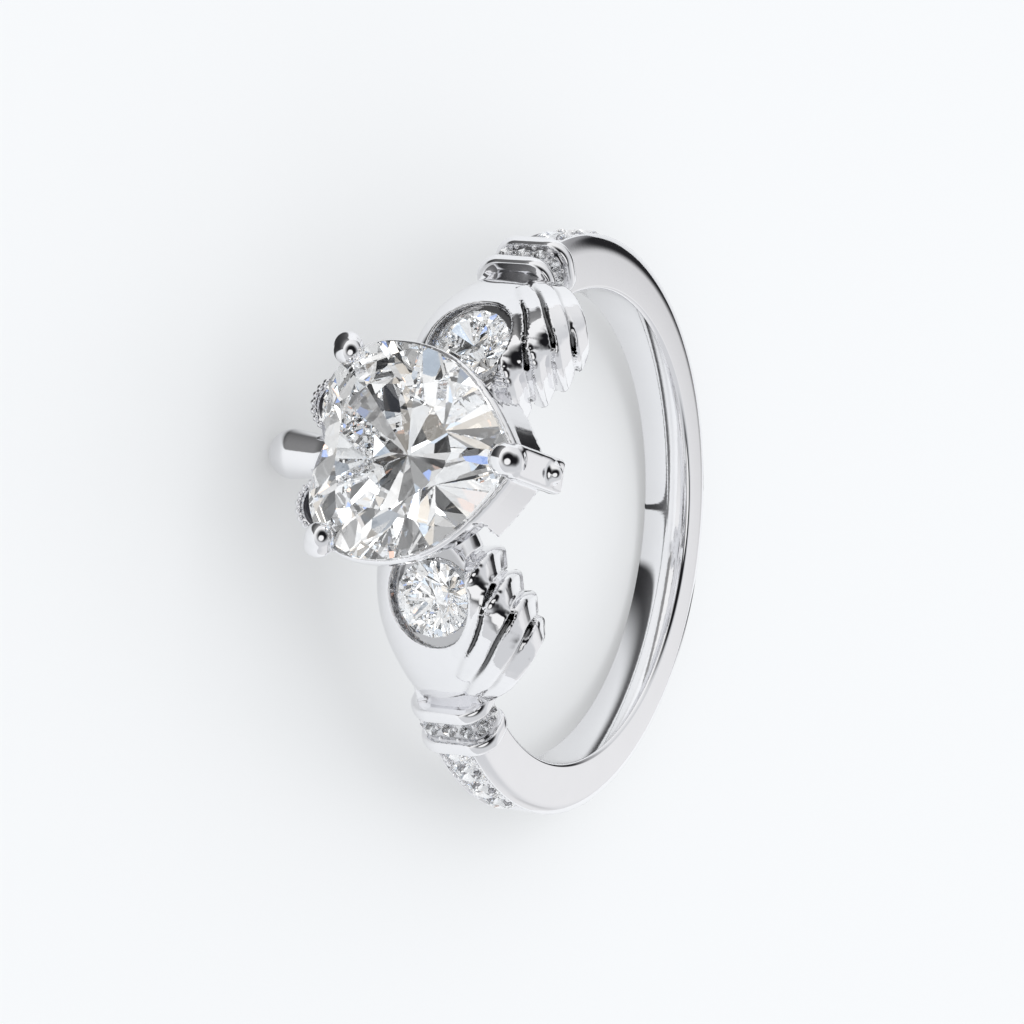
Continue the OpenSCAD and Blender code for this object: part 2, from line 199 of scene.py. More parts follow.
def polished_metal(name, colour, rough, marks):
    mat = bpy.data.materials.new(name)
    mat.use_nodes = True
    tree = mat.node_tree
    link = tree.links.new
    shader = tree.nodes["Principled BSDF"]
    shader.inputs["Metallic"].default_value = 1.0
    place = node(tree, "ShaderNodeTexCoord")
    cloud = node(tree, "ShaderNodeTexNoise", Scale=CLOUD_SCALE, Detail=4.0)
    fine = node(tree, "ShaderNodeTexNoise", Scale=MARK_SCALE, Detail=3.0)
    tone = node(tree, "ShaderNodeValToRGB")
    tone.color_ramp.elements[0].color = (*[c * 0.96 for c in colour], 1)
    tone.color_ramp.elements[1].color = (*colour, 1)
    gloss = node(tree, "ShaderNodeMapRange")
    gloss.inputs["To Min"].default_value = rough * 0.6
    gloss.inputs["To Max"].default_value = rough * 1.5
    bump = node(tree, "ShaderNodeBump", Strength=marks, Distance=MARK_HEIGHT)
    deep = node(tree, "ShaderNodeAttribute", attribute_name="depth")
    link(place.outputs["Object"], cloud.inputs["Vector"])
    link(place.outputs["Object"], fine.inputs["Vector"])
    link(cloud.outputs["Fac"], tone.inputs["Fac"])
    # Painted shade: where a mesh has a depth layer, the colour goes towards a sixth of the metal's colour.
    colour_with_painted_shade = mixed(tree, tone.outputs["Color"], tuple(c * 0.16 for c in colour), deep.outputs["Fac"])
    link(colour_with_painted_shade, shader.inputs["Base Color"])
    link(cloud.outputs["Fac"], gloss.inputs["Value"])
    link(gloss.outputs["Result"], shader.inputs["Roughness"])
    link(fine.outputs["Fac"], bump.inputs["Height"])
    link(bump.outputs["Normal"], shader.inputs["Normal"])
    return mat


bright_metal = polished_metal("polished_white_metal", (0.90, 0.90, 0.915), 0.05, 0.06)
# Painted shade: near-black metal for the sunk face inside the crown's lobes.
painted_shade_metal = polished_metal("recess_painted_shade_metal", (0.09, 0.09, 0.1), 0.3, 0.2)
# Painted shade: a rougher, darker grey for the sunk row between the cuff's rims.
row_painted_shade_metal = polished_metal("recessed_row_metal", (0.76, 0.76, 0.77), 0.14, 0.15)
print("finishes:", bright_metal.name, painted_shade_metal.name, row_painted_shade_metal.name)

# %% [markdown]
# ## Clear stones
# A cut stone is colourless and bends light more than twice as strongly as air does. Its facets are
# perfectly smooth, so the sparkle comes from the cut alone, and the finish has no bump. A faint
# cloud of tint keeps the body of the stone from looking like empty air.

# %% The stone finish
def cut_stone(name, bend, cool, warm):
    mat = bpy.data.materials.new(name)
    mat.use_nodes = True
    tree = mat.node_tree
    shader = tree.nodes["Principled BSDF"]
    shader.inputs["Transmission Weight"].default_value = 1.0
    shader.inputs["IOR"].default_value = bend
    shader.inputs["Roughness"].default_value = 0.0
    place = node(tree, "ShaderNodeTexCoord")
    cloud = node(tree, "ShaderNodeTexNoise", Scale=700.0, Detail=2.0)
    tint = node(tree, "ShaderNodeValToRGB")
    tint.color_ramp.elements[0].color = (*cool, 1)
    tint.color_ramp.elements[0].position = 0.35
    tint.color_ramp.elements[1].color = (*warm, 1)
    tint.color_ramp.elements[1].position = 0.65
    tree.links.new(place.outputs["Object"], cloud.inputs["Vector"])
    tree.links.new(cloud.outputs["Fac"], tint.inputs["Fac"])
    tree.links.new(tint.outputs["Color"], shader.inputs["Base Color"])
    return mat


clear_heart = cut_stone("heart_stone_clear", 2.3, (0.97, 0.985, 1.0), (1.0, 0.995, 0.985))
clear_small = cut_stone("small_stone_clear", 2.2, (0.96, 0.98, 1.0), (1.0, 0.99, 0.98))
for name, obj in frame["nodes"].items():
    if name != "ring_metal":
        obj.data.materials.clear()
        obj.data.materials.append(clear_heart if name == "heart_stone" else clear_small)
print("stones dressed:", len(frame["nodes"]) - 1)

# %% [markdown]
# ## The hoop
# The hoop was cast from a wax ring and polished. Its section is a small rectangle with rounded
# outer edges, and it is thicker at the head, because its outer circle lies a little nearer to the
# head than the finger hole. In each shoulder a channel is cut for the stones. It could be cut out
# with a boolean, but one mesh that goes round in small steps has cleaner edges: the floor of the
# channel is simply lower between the channel's two ends.

# %% The hoop's section
BAND_R, BAND_SHIFT, BAND_HALF = 10.59, 0.34, 0.95
EASE = 0.12
ROUND_WIDE, ROUND_TALL, ROUND_STEPS = 0.7, 0.32, 9
CHANNEL_HALF, CHANNEL_DEPTH = 0.7, 0.42


def hoop_section(depth):
    """Radius and height of the inner points from below, then of the outer points from above."""
    half, lip = BAND_HALF, CHANNEL_HALF
    wall = [(0, 0), (0, half - EASE), (0.04, half - 0.05), (EASE, half), (EASE + 0.03, half)]
    wall = [(FINGER_R + r, z) for r, z in wall]
    edge = [(BAND_R - ROUND_WIDE + ROUND_WIDE * math.sin(a), half - ROUND_TALL + ROUND_TALL * math.cos(a))
            for a in np.linspace(0, math.pi / 2, ROUND_STEPS)]
    face = [(r, z) for r, z in edge if z > lip + 0.02] + [(BAND_R, lip + 0.012), (BAND_R - 0.012, lip)]
    face += [(BAND_R - depth, lip), (BAND_R - depth, lip - 0.02), (BAND_R - depth, 0)]
    inner = [(r, -z) for r, z in reversed(wall[1:])] + wall
    outer = face + [(r, -z) for r, z in reversed(face[:-1])]
    return inner, outer


print("points in the section:", sum(len(side) for side in hoop_section(0)))

# %% [markdown]
# The section is now carried round the finger axis, one degree at a time. Four extra steps at each
# end of a channel make its end walls stand nearly upright.

# %% Hoop with its shoulder channels
CHANNEL = (56.7, 88.3)  # degrees from the heart
END_WALL = 0.03


def hoop_mesh():
    turns = set(range(360))
    for end in CHANNEL:
        turns |= {end - END_WALL, end + END_WALL, 360 - end - END_WALL, 360 - end + END_WALL}
    points = []
    for a in sorted(turns):
        side = min(a, 360 - a)
        inner, outer = hoop_section(CHANNEL_DEPTH if CHANNEL[0] < side < CHANNEL[1] else 0.0)
        s, c = math.sin(math.radians(a)), -math.cos(math.radians(a))
        points.append([(r * s, r * c, z) for r, z in inner]
                      + [(r * s, r * c - BAND_SHIFT, z) for r, z in outer])
    n, m = len(points), len(points[0])
    faces = [(i * m + j, i * m + (j + 1) % m, (i + 1) % n * m + (j + 1) % m, (i + 1) % n * m + j)
             for i in range(n) for j in range(m)]
    return np.array(points).reshape(-1, 3), faces


piece("hoop", *hoop_mesh(), bright_metal)

# %% [markdown]
# ## Cast forms from distance fields
# Hands, prongs and crown melt into each other in the casting. Sculpting them by hand would give
# soft forms too, but with no exact sizes. A distance field says how far each point is from a
# form, and two fields join with a soft fillet of a chosen size.

# %% Soft joins
def soft_join(a, b, k):
    h = np.clip(0.5 + 0.5 * (b - a) / k, 0, 1)
    return b * (1 - h) + a * h - k * h * (1 - h)


def soft_cut(a, b, k):
    return -soft_join(-a, b, k)


def rod(p, a, b, ra, rb):
    """Distance to a round rod from a to b, whose radius goes from ra to rb."""
    a, b = np.array(a, float), np.array(b, float)
    d = b - a
    t = np.clip((p - a) @ d / (d @ d), 0, 1)
    return np.linalg.norm(p - a - t[:, None] * d, axis=1) - (ra + (rb - ra) * t)


print("a fillet of 0.2 mm adds", -float(soft_join(np.zeros(1), np.zeros(1), 0.2)[0]), "mm at its middle")

# %% [markdown]
# A mesh of a field starts as a net of small cells. The surface crosses some edges of a cell, and
# the mean of these crossings is the cell's one point. Blender's own remesh does nearly the same,
# but only for a mesh that is there already, and a field has none.

# %% Points of the net
def net_points(value):
    """The points in steps of the grid, the number of each cell's point, and the crossed edges."""
    inside = value < 0
    cells = tuple(s - 1 for s in value.shape)
    total, count = np.zeros(cells + (3,)), np.zeros(cells)
    crossings = []
    for axis in range(3):
        a, b = [slice(None)] * 3, [slice(None)] * 3
        a[axis], b[axis] = slice(0, -1), slice(1, None)
        va, vb = value[tuple(a)], value[tuple(b)]
        cross = inside[tuple(a)] != inside[tuple(b)]
        t = np.where(cross, va / np.where(cross, va - vb, 1), 0)
        u, w = [k for k in range(3) if k != axis]
        for du, dw in ((0, 0), (0, 1), (1, 0), (1, 1)):
            pick = [slice(None)] * 3
            pick[u], pick[w] = slice(du, du + cells[u]), slice(dw, dw + cells[w])
            off = np.zeros(cells + (3,))
            off[..., axis] = t[tuple(pick)]
            off[..., u], off[..., w] = du, dw
            total += off * cross[tuple(pick)][..., None]
            count += cross[tuple(pick)]
        crossings.append((cross, inside[tuple(a)]))
    live = count > 0
    index = np.full(cells, -1)
    index[live] = np.arange(live.sum())
    return np.argwhere(live) + total[live] / count[live][:, None], index, crossings


# %% [markdown]
# Four cells meet at each crossed edge, and their points are the corners of one face. The face is
# read the other way round where the edge runs into the form and not out of it.

# %% Faces of the net
def net_faces(index, crossings):
    faces = []
    for axis, (cross, first) in enumerate(crossings):
        u, w = (axis + 1) % 3, (axis + 2) % 3
        at = np.argwhere(cross)
        wide, deep = index.shape[u], index.shape[w]
        at = at[(at[:, u] > 0) & (at[:, w] > 0) & (at[:, u] < wide) & (at[:, w] < deep)]
        quad = []
        for du, dw in ((0, 0), (1, 0), (1, 1), (0, 1)):
            c = at.copy()
            c[:, u] -= du
            c[:, w] -= dw
            quad.append(index[tuple(c.T)])
        quad = np.stack(quad, 1)
        out = first[tuple(at.T)]
        quad[~out] = quad[~out][:, ::-1]
        faces.append(quad)
    return np.concatenate(faces)


# %% [markdown]
# A raw net has small steps, which polished metal would show at once. So each point slides along
# the slope of the field until it lies right on the surface, never further than its own cell.

# %% Sliding onto the surface
def settled(field, p, step):
    e = step * 0.2
    d = field(p)
    slope = [field(p + np.eye(3)[k] * e) - field(p - np.eye(3)[k] * e) for k in range(3)]
    slope = np.stack(slope, 1) / (2 * e)
    size = np.maximum((slope ** 2).sum(1), 0.25)
    move = -d[:, None] * slope / size[:, None]
    far = np.linalg.norm(move, axis=1)
    return p + move * np.minimum(1, step * 0.6 / np.maximum(far, 1e-9))[:, None]


# %% [markdown]
# At very thin places a net can leave crumbs. Faces belong to one skin where exactly two of them
# share an edge, so every face takes the lowest number among its neighbours until nothing changes,
# and the number that most faces have is the skin that is kept.

# %% One skin without crumbs
def biggest(points, faces):
    ends = np.sort(np.stack([faces, np.roll(faces, -1, 1)], 2), 2)
    key = ends[..., 0] * len(points) + ends[..., 1]
    _, edge, count = np.unique(key, return_inverse=True, return_counts=True)
    edge = edge.reshape(faces.shape)
    shared = count[edge] == 2
    label = np.arange(len(faces))
    while True:
        own = np.broadcast_to(label[:, None], edge.shape)
        low = np.full(len(count), len(faces))
        np.minimum.at(low, edge[shared], own[shared])
        fresh = np.where(shared, low[edge], own).min(1)
        fresh = fresh[fresh]
        if (fresh == label).all():
            break
        label = fresh
    faces = faces[label == np.bincount(label).argmax()]
    used, place = np.unique(faces, return_inverse=True)
    return points[used], place.reshape(faces.shape)


# %% [markdown]
# These steps together turn any field into a mesh. A ball is the quickest test of them, because
# every point of it has to lie at the same distance from the middle.

# %% A net over a field
AT_ONCE, SLIDES = 200000, 3  # points worked out together, moves onto the surface


def net(field, low, high, step):
    axes = [np.arange(lo, hi + step, step) for lo, hi in zip(low, high)]
    grid = np.stack(np.meshgrid(*axes, indexing="ij"), -1).reshape(-1, 3)
    value = np.concatenate([field(g) for g in np.array_split(grid, max(1, len(grid) // AT_ONCE))])
    points, index, crossings = net_points(value.reshape([len(a) for a in axes]))
    points = points * step + np.array([a[0] for a in axes])
    for _ in range(SLIDES):
        points = settled(field, points, step)
    return biggest(points, net_faces(index, crossings))


test, _ = net(lambda p: np.linalg.norm(p, axis=1) - 1, (-1.3, -1.3, -1.3), (1.3, 1.3, 1.3), 0.2)
print("a ball of radius 1 is off by", float(np.abs(np.linalg.norm(test, axis=1) - 1).max()))

# %% [markdown]
# ## The hands
# Each hand was carved in wax: the back of the hand is one full, rounded form, and four fingers
# run over its side and curl in. A table is the shortest way to write such a form. The first one
# gives the height of the back over the finger hole and its two sides, at angles from the heart.
# The second gives the middle line of each finger with its half width. Smooth curves run through
# the rows.

# %% Tables of the hand
# angle, inner height, outer height, low side, high side
BACK = np.array([
    [5.0, 1.95, 2.3, 0.0, 1.0], [7.5, 1.75, 2.75, -0.6, 1.7], [9.8, 1.3, 3.2, -0.9, 2.03],
    [13, 1.1, 3.7, -1.15, 2.4], [18, 1.0, 3.98, -1.25, 2.85], [24, 0.9, 3.98, -1.27, 3.3],
    [30, 0.8, 3.65, -1.22, 3.5], [36, 0.7, 3.15, -1.1, 3.3], [41, 0.6, 2.65, -1.02, 2.65],
    [45, 0.55, 2.3, -0.89, 1.9], [49.5, 0.65, 2.1, -0.85, 1.6], [54, 0.65, 2.1, -0.85, 1.6]])
# angle, height, place along the finger axis, half width
FINGERS = [
    [[31, 3.1, 2.1, 0.3], [27.5, 3.35, 2.45, 0.42], [24, 3.48, 2.68, 0.5], [20.6, 3.5, 2.8, 0.55],
     [17.8, 3.3, 2.86, 0.57], [16.4, 2.6, 2.8, 0.56], [16.2, 1.6, 2.5, 0.54], [16.6, 0.65, 2.2, 0.5]],
    [[36, 2.8, 1.95, 0.3], [32, 3.12, 2.6, 0.42], [28.2, 3.3, 3.05, 0.5], [24.8, 3.32, 3.38, 0.56],
     [22.2, 3.1, 3.52, 0.58], [20.8, 2.4, 3.42, 0.57], [21, 1.5, 3.15, 0.55], [21.7, 0.65, 2.86, 0.5]],
    [[40.5, 2.3, 1.85, 0.3], [36.6, 2.72, 2.6, 0.42], [32.6, 3.0, 3.2, 0.5], [29.2, 3.05, 3.65, 0.55],
     [26.4, 2.85, 3.9, 0.57], [25, 2.2, 3.88, 0.56], [25.2, 1.45, 3.68, 0.53], [26, 0.65, 3.4, 0.48]],
    [[44, 1.8, 1.65, 0.3], [41, 2.12, 2.35, 0.42], [37.8, 2.4, 3.05, 0.5], [34.4, 2.5, 3.62, 0.54],
     [31.4, 2.4, 4.02, 0.55], [29.9, 1.9, 4.1, 0.53], [30, 1.35, 3.95, 0.5], [31, 0.8, 3.7, 0.46]]]


def smooth_rows(rows, parts):
    """Rows in between, on a curve that goes through every given row."""
    rows = np.asarray(rows, float)
    padded = np.vstack([2 * rows[0] - rows[1], rows, 2 * rows[-1] - rows[-2]])
    out = []
    for i in range(1, len(rows)):
        a, b, c, d = padded[i - 1:i + 3]
        for t in np.arange(parts) / parts:
            out.append(0.5 * (2 * b + (c - a) * t + (2 * a - 5 * b + 4 * c - d) * t ** 2
                              + (3 * b - a - 3 * c + d) * t ** 3))
    return np.array(out + [rows[-1]])


def on_axis(rows):
    r, a = FINGER_R + rows[:, 1], np.radians(rows[:, 0])
    return np.stack([r * np.sin(a), -r * np.cos(a), rows[:, 2]], 1)


BACK_FINE = smooth_rows(BACK, 12)
FINGERS_FINE = [smooth_rows(f, 3) for f in FINGERS]
LINES = [on_axis(f) for f in FINGERS_FINE]
print("finger lines of", [len(f) for f in FINGERS_FINE], "points")

# %% [markdown]
# A finger is a flat strap, not a tube: its section is a rounded box that follows the finger's line.
# From the knuckle on, each strap lies a step in front of the one before, like shingles, so a small
# wall shows between them. Each groove is cut a little deeper, as the engraver does, and gets wider
# towards the finger's tip.

# %% Straps and grooves
THICK, CORNER = 0.42, 0.24
GROOVE_ROW, GROOVE_R = [0, 3, 12, 22], [0.03, 0.08, 0.1, 0.11]
FAR = 9.0


def frames(k):
    """Along, across and up at each point of a finger's line."""
    along = unit(np.gradient(LINES[k], axis=0))
    side = unit(LINES[min(k + 1, 3)] - LINES[max(k - 1, 0)])
    side[:, 2] *= np.interp(np.arange(len(side)), [7, 13], [1, 0.15])
    side = unit(side - (side * along).sum(1, keepdims=True) * along)
    return along, side, np.cross(side, along)


FRAMES = [frames(k) for k in range(4)]


def strap(p, k):
    line, wide = LINES[k], FINGERS_FINE[k][:, 3]
    along, side, up = FRAMES[k]
    best = np.full(len(p), FAR)
    for i in range(len(line) - 1):
        d = line[i + 1] - line[i]
        q = p - line[i]
        t = np.clip(q @ d / (d @ d), 0, 1)
        q = q - t[:, None] * d
        half_wide = wide[i] + (wide[i + 1] - wide[i]) * t
        u = np.abs(q @ side[i] * (1 - t) + q @ side[i + 1] * t) - half_wide + CORNER
        v = np.abs(q @ up[i] * (1 - t) + q @ up[i + 1] * t) - THICK + CORNER
        w = np.abs(q @ along[i] * (1 - t) + q @ along[i + 1] * t)
        away = np.sqrt(np.maximum(u, 0) ** 2 + np.maximum(v, 0) ** 2 + w ** 2)
        best = np.minimum(best, away + np.minimum(np.maximum(u, v), 0) - CORNER)
    return best


GROOVES = [LINES[k] + FRAMES[k][1] * FINGERS_FINE[k][:, 3:] + FRAMES[k][2] * (THICK - 0.03) for k in range(3)]
print("grooves start at", [np.round(g[0], 2).tolist() for g in GROOVES])

# %% [markdown]
# The back of the hand has a section between an oval and a box, so it looks full. A pocket is sunk
# in it for the round stone, with a bevel that the stone's lower side fits. Body, grooves and
# pocket are three fields, and the hand is the first one cut by the other two.

# %% The hand's field
STONE_TURN, STONE_HIGH, STONE_OUT = 22.0, 1.25, 3.98
POCKET_LONG, POCKET_HIGH, POCKET_DEEP, POCKET_BACK = 1.95, 1.58, 0.68, 0.15
BEVEL_R, BEVEL_FOOT, BEVEL_TALL = 1.45, 1.68, 1.16
BACK_FROM, BACK_TO = 5.5, 52
FULLNESS = 2.7


def hand_body(p):
    angle = np.degrees(np.arctan2(p[:, 0], -p[:, 1]))
    r = np.hypot(p[:, 0], p[:, 1])
    low_h, top_h, low_z, top_z = [np.interp(angle, BACK_FINE[:, 0], BACK_FINE[:, k]) for k in (1, 2, 3, 4)]
    hh, zh = (top_h - low_h) / 2, (top_z - low_z) / 2
    u = (r - FINGER_R - (top_h + low_h) / 2) / hh
    v = (p[:, 2] - (top_z + low_z) / 2) / zh
    n = FULLNESS
    rho = (np.abs(u) ** n + np.abs(v) ** n + 1e-9) ** (1 / n)
    slope = rho ** (1 - n) * np.hypot(np.abs(u) ** (n - 1) / hh, np.abs(v) ** (n - 1) / zh)
    back = (rho - 1) / np.maximum(slope, 0.3)
    back = np.maximum(back, (BACK_FROM - angle) * r * math.pi / 180)
    back = np.maximum(back, (angle - BACK_TO) * r * math.pi / 180)
    # The fingers are only worked out where they can be
    near = (p[:, 2] > 0.9) & (angle > 8) & (angle < 50)
    fingers = np.full(len(p), FAR)
    if near.any():
        f = strap(p[near], 0)
        for k in (1, 2, 3):
            f = soft_join(f, strap(p[near], k), 0.07)
        fingers[near] = f
    return soft_join(back, fingers, 0.1)


def hand_cuts(p):
    near = p[:, 2] > 1.2
    q, g = p[near], np.full(near.sum(), FAR)
    for line in GROOVES:
        radii = np.interp(np.arange(len(line)), GROOVE_ROW, GROOVE_R)
        for a, b, ra, rb in zip(line[:-1], line[1:], radii[:-1], radii[1:]):
            g = np.minimum(g, rod(q, a, b, ra, rb))
    cuts = np.full(len(p), FAR)
    cuts[near] = g
    return cuts


def stone_pocket(p):
    a = math.radians(STONE_TURN)
    side = p[:, 0] * math.cos(a) + p[:, 1] * math.sin(a)
    high = p[:, 2] - STONE_HIGH
    out = p[:, 0] * math.sin(a) - p[:, 1] * math.cos(a) - FINGER_R - STONE_OUT
    oval = np.hypot((side + POCKET_BACK) / POCKET_LONG, high / POCKET_HIGH)
    bevel = (np.hypot(side, high) - BEVEL_R * np.clip((out + BEVEL_FOOT) / BEVEL_TALL, 0, 1)) * 0.63
    return np.minimum(np.maximum((oval - 1) * 1.7, -POCKET_DEEP - out), bevel)


def hand_field(p):
    body = soft_cut(hand_body(p), hand_cuts(p), 0.05)
    return soft_cut(body, stone_pocket(p), 0.05)


hand_points, hand_faces = net(hand_field, (0.3, -13.2, -1.8), (10.2, -5.2, 5.0), step=0.067)
hands = pair("hand", hand_points, hand_faces, bright_metal)

# %% [markdown]
# The grooves and the wall of the pocket are painted darker, painted shade where little light falls.
# Each point of the hands keeps how deep it lies under the uncut form, and the metal
# finish reads that depth.

# %% Painted shade in the grooves
under = -hand_body(hand_points)
# Painted shade: full in the grooves, up to half on the wall of the pocket.
depth = np.where(hand_cuts(hand_points) < 0.03, np.clip(under / 0.08, 0, 1), 0)
depth = np.maximum(depth, np.where(stone_pocket(hand_points) < 0.03, np.clip(under / 0.3, 0, 0.5), 0))
for hand in hands:
    layer = hand.data.attributes.new("depth", "FLOAT", "POINT")
    layer.data.foreach_set("value", depth.astype(np.float32))
print("points in the dark:", int((depth > 0.5).sum()))

# %% [markdown]
# ## The heart's setting
# The stone stands in a basket of thin wire: a rim under its girdle, a low gallery rail, two
# round prongs at the lobes and one bar with a bead at the point, where two thin walls meet.
# The wires follow the stone's own outline, so its distance is worked out once on a flat grid,
# and every wire and wall is then read from that grid.

# %% The heart's outline
HEART_HALF, GIRDLE, HEART_MID = 3.85, 6.2, 1.0
LOBE_X, LOBE_R, LOBE_Z, TIP_Z = HEART_HALF * 0.39, HEART_HALF * 0.61, 0.05, 5.45
CLEFT = math.pi - math.acos(LOBE_X / LOBE_R)
FLAT_REACH, FLAT_STEP = 7, 0.05


def heart_outline(lobe_steps, side_steps):
    """An arc round the lobe, then a curve down to the point, and the same mirrored."""
    half = []
    for i in range(lobe_steps):
        a = CLEFT * (i / lobe_steps - 1)
        half.append((LOBE_X + LOBE_R * math.cos(a), LOBE_Z + LOBE_R * math.sin(a)))
    c = np.array([[HEART_HALF, LOBE_Z], [HEART_HALF + 0.1, 2.7], [HEART_HALF * 0.62, 4.0], [0, TIP_Z]])
    for i in range(side_steps + 1):
        t = i / side_steps
        half.append(c[0] * (1 - t) ** 3 + c[1] * 3 * t * (1 - t) ** 2
                    + c[2] * 3 * t * t * (1 - t) + c[3] * t ** 3)
    half = np.array(half) - [0, HEART_MID]
    return np.vstack([half, (half * [-1, 1])[-2:0:-1]])


def flat_distance(outline, marks):
    gx, gy = np.meshgrid(marks, marks, indexing="ij")
    best, odd = np.full(gx.shape, 1e9), np.zeros(gx.shape, bool)
    for a, b in zip(outline, np.roll(outline, -1, 0)):
        d = b - a
        t = np.clip(((gx - a[0]) * d[0] + (gy - a[1]) * d[1]) / (d @ d), 0, 1)
        best = np.minimum(best, np.hypot(gx - a[0] - t * d[0], gy - a[1] - t * d[1]))
        if a[1] != b[1]:
            odd ^= ((a[1] > gy) != (b[1] > gy)) & (gx < d[0] * (gy - a[1]) / d[1] + a[0])
    return np.where(odd, -best, best)


HEART = heart_outline(20, 26)
HEART_FLAT = flat_distance(HEART, np.arange(-FLAT_REACH, FLAT_REACH + 0.001, FLAT_STEP))


def heart_distance(a, b):
    g = HEART_FLAT
    x, y = (np.clip((v + FLAT_REACH) / FLAT_STEP, 0, len(g) - 1.001) for v in (a, b))
    i, j = x.astype(int), y.astype(int)
    fx, fy = x - i, y - j
    return (g[i, j] * (1 - fx) * (1 - fy) + g[i + 1, j] * fx * (1 - fy)
            + g[i, j + 1] * (1 - fx) * fy + g[i + 1, j + 1] * fx * fy)


print("heart outline of", len(HEART), "points")

# %% [markdown]
# A wire is a small rounded box in the plane of distance from the outline and height over the
# girdle, so it follows the heart by itself. At the end the stone's own space is cut out of
# everything, so the metal holds the stone and never cuts into it.

# %% The setting's field
# ways from the heart's middle to a prong on a lobe and to the bar at the point
LOBE, POINT = (0.819, -0.574), (0, 1)
WALL_FROM = 3.12
SEAT_LOW, SEAT_TOP, SEAT_GAP = -3.3, 1.2, 0.03
# height over the girdle, share of its outline that the stone fills there
SEAT = [[SEAT_LOW, -0.12, 0.12, SEAT_TOP], [0.02, 1.0, 1.0, 0.6]]


def from_mid(turn, out, height):
    return [turn[0] * out, -FINGER_R - height, HEART_MID + turn[1] * out]


def wire(edge, high, mid, half_wide, low, top, round_off):
    qx = np.abs(edge - mid) - half_wide + round_off
    qy = np.abs(high - (low + top) / 2) - (top - low) / 2 + round_off
    return np.hypot(np.maximum(qx, 0), np.maximum(qy, 0)) + np.minimum(np.maximum(qx, qy), 0) - round_off


def plate(p, a, b, half_wide, half_thick, round_off=0.2):
    a, b = np.array(a, float), np.array(b, float)
    d = unit(b - a)
    q = p - (a + b) / 2
    across = np.array([1.0, 0, 0])
    box = np.abs(np.stack([q @ across, q @ np.cross(d, across), q @ d], 1))
    box -= [half_wide - round_off, half_thick - round_off, np.linalg.norm(b - a) / 2]
    return np.linalg.norm(np.maximum(box, 0), axis=1) + np.minimum(box.max(1), 0) - round_off


def setting_field(p):
    a, b, c = np.abs(p[:, 0]), p[:, 2] - HEART_MID, -p[:, 1] - FINGER_R - GIRDLE
    q = np.stack([a, p[:, 1], p[:, 2]], 1)
    edge = heart_distance(a, b)
    rim = wire(edge, c, -0.2, 0.32, -0.75, -0.13, 0.14)
    rail = wire(edge, c, -0.95, 0.3, -2.95, -2.2, 0.18)
    body = soft_join(rim, rail, 0.05)
    wall = np.maximum(wire(edge + 0.1 * c, c, -0.1, 0.21, -2.2, -0.3, 0.06), WALL_FROM - b)
    body = soft_join(body, wall, 0.12)
    prong = rod(q, from_mid(LOBE, 2.2, 3.6), from_mid(LOBE, 4.3, 6.7), 0.42, 0.44)
    bead = rod(q, from_mid(LOBE, 4.28, 6.6), from_mid(LOBE, 4.02, 6.9), 0.52, 0.5)
    body = soft_join(body, soft_join(prong, bead, 0.1), 0.16)
    bar = plate(q, from_mid(POINT, 4.72, 3.5), from_mid(POINT, 4.5, 6.3), 0.62, 0.3)
    bead = rod(q, from_mid(POINT, 4.36, 6.45), from_mid(POINT, 4.26, 6.6), 0.58, 0.58)
    body = soft_join(body, soft_join(bar, bead, 0.12), 0.08)
    heel = rod(q, from_mid(POINT, 2.6, 3.5), from_mid(POINT, 5.0, 4.2), 0.35, 0.35)
    body = soft_join(body, heel, 0.2)
    taper = np.interp(c, *SEAT)
    stone = heart_distance(a / taper, b / taper) * taper - SEAT_GAP
    stone = np.where((c > SEAT_LOW) & (c < SEAT_TOP), stone, 1.0)
    return soft_cut(body, stone, 0.03)


setting_net = net(setting_field, (-5.0, -16.6, -4.0), (5.0, -11.0, 7.6), step=0.09)
piece("heart_setting", *setting_net, bright_metal)

# %% [markdown]
# ## The heart brilliant
# A cutter grinds flat facets against a wheel, one after the other. The same is done here: half a
# heart is taken as a thick blank and cut by planes, and the other half is its mirror image. The
# main facets of the lower side all meet in one point, and that point makes the star in the stone.

# %% Cutting planes
TABLE, BELT, DEEP = 1.06, 0.1, 3.05
MAINS = [90, 50, 14, -22, -58, -90]


def cut_planes(half):
    planes = []

    def face(turn, at_belt, lean, side):
        d = np.array([math.cos(math.radians(turn)), math.sin(math.radians(turn))])
        reach = (half @ d).max()
        planes.append((np.array([*d, side * lean * reach]), reach * (at_belt + lean * BELT)))

    for turn in MAINS:
        face(turn, 1.0, 0.41 / (TABLE - BELT), 1)
        face(turn, 1.0, 1.0 / (DEEP - BELT), -1)
    for a, b in zip(MAINS[:-1], MAINS[1:]):
        middle, step = (a + b) / 2, abs(a - b)
        face(middle, 0.565 + 0.62, 0.62 / (TABLE - BELT), 1)
        for k in (-0.22, 0.22):
            face(middle + k * step, 1.0, 0.33 / (TABLE - BELT), 1)
            face(middle + k * step, 1.0, 1.0 / (DEEP * 1.04 - BELT), -1)
    return planes


half_heart = HEART[HEART[:, 0] >= -1e-9]
print("planes for half a heart:", len(cut_planes(half_heart)))

# %% [markdown]
# Each cut throws away what lies outside its plane and closes the wound with one flat facet. The
# open side in the middle is deleted, and the mirrored half is welded on there.

# %% The cut heart
import bmesh


